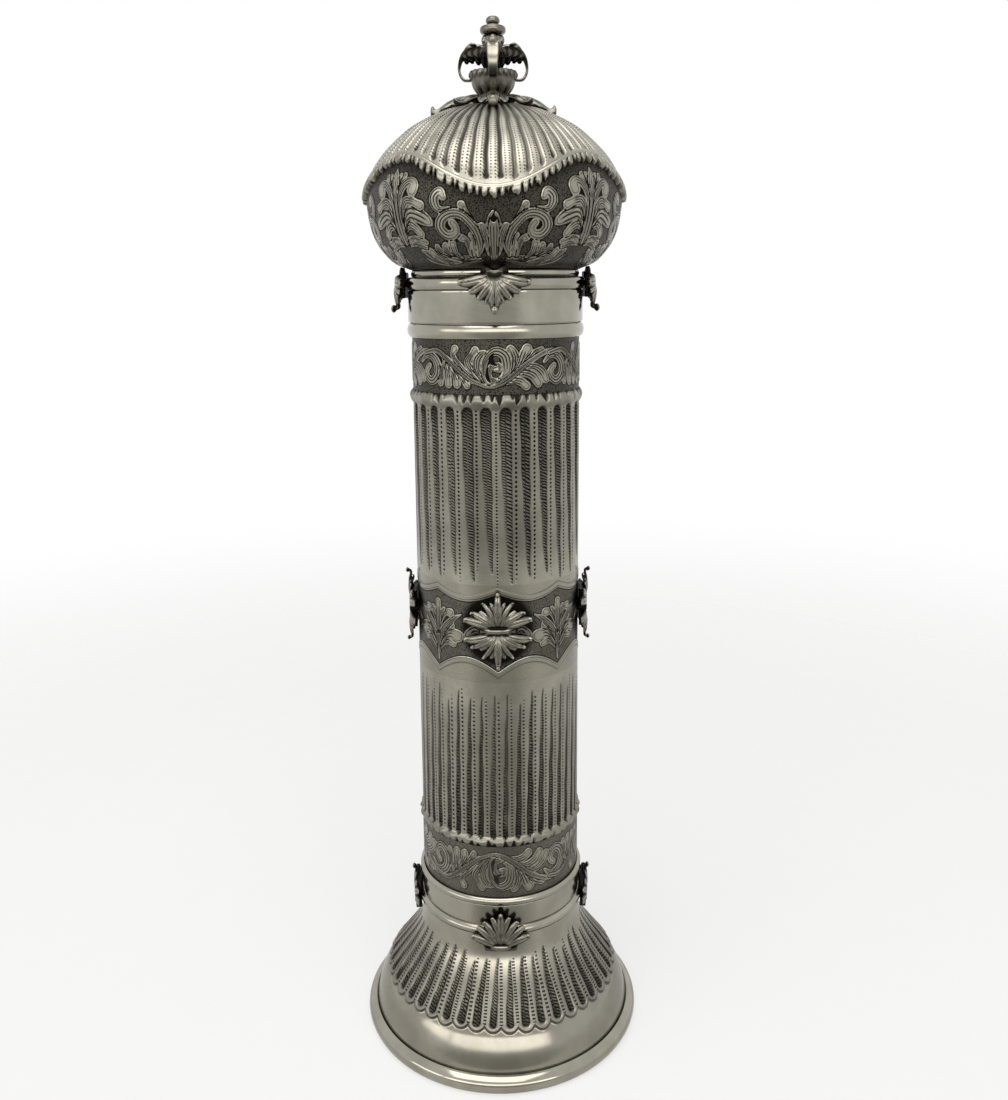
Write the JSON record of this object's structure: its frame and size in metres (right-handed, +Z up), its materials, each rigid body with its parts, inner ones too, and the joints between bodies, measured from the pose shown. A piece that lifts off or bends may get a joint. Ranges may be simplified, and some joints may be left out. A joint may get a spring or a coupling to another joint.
{
  "type": "megillah case",
  "caption": "Tall cylindrical silver scroll case on a flared round foot, with a fluted and chased tube, acanthus ornaments and a bulb shaped lid with a crown finial that lifts off.",
  "frame": {"origin": "centre of the foot's flat underside, on the table", "axes": "+Z up along the tube, -Y towards the front ornament"},
  "size_m": [0.114, 0.114, 0.3995],
  "materials": {
    "polished_silver": "polished silver, warm grey, lightly tarnished",
    "chased_silver": "chased silver with a dark patina in the ground",
    "cast_silver": "cast silver, highlights polished, hollows dark",
    "fastener_steel": "plain steel"
  },
  "bodies": {
    "case": {"base_rim": "polished_silver", "base_plate": "polished_silver", "foot_skirt": "chased_silver", "foot_collar_ring": "polished_silver", "foot_collar": "polished_silver", "tube_foot_ring": "polished_silver", "tube_floor": "polished_silver", "tube": "chased_silver", "mouth_ring": "polished_silver", "middle_ornament_front": "cast_silver", "middle_ornament_right": "cast_silver", "middle_ornament_back": "cast_silver", "middle_ornament_left": "cast_silver", "foot_leaf_front": "cast_silver", "foot_leaf_right": "cast_silver", "foot_leaf_back": "cast_silver", "foot_leaf_left": "cast_silver"},
    "lid": {"lid_collar": "polished_silver", "collar_ring": "polished_silver", "neck_bead": "polished_silver", "bulb_bowl": "chased_silver", "wavy_rim": "polished_silver", "dome": "chased_silver", "neck_leaf_front": "cast_silver", "neck_leaf_right": "cast_silver", "neck_leaf_back": "cast_silver", "neck_leaf_left": "cast_silver", "rosette": "cast_silver", "finial_cup": "cast_silver", "crown_arm_front": "cast_silver", "crown_arm_right": "cast_silver", "crown_arm_back": "cast_silver", "crown_arm_left": "cast_silver", "finial_bud": "cast_silver", "finial_knob_ring": "polished_silver", "finial_button": "polished_silver", "finial_stud": "fastener_steel", "finial_washer": "fastener_steel", "finial_nut": "fastener_steel"}
  },
  "joints": [
    {"name": "lid_lift", "type": "slide", "parent": "case", "child": "lid", "axis": [0, 0, 1], "range_m": [0, 0.1]}
  ]
}
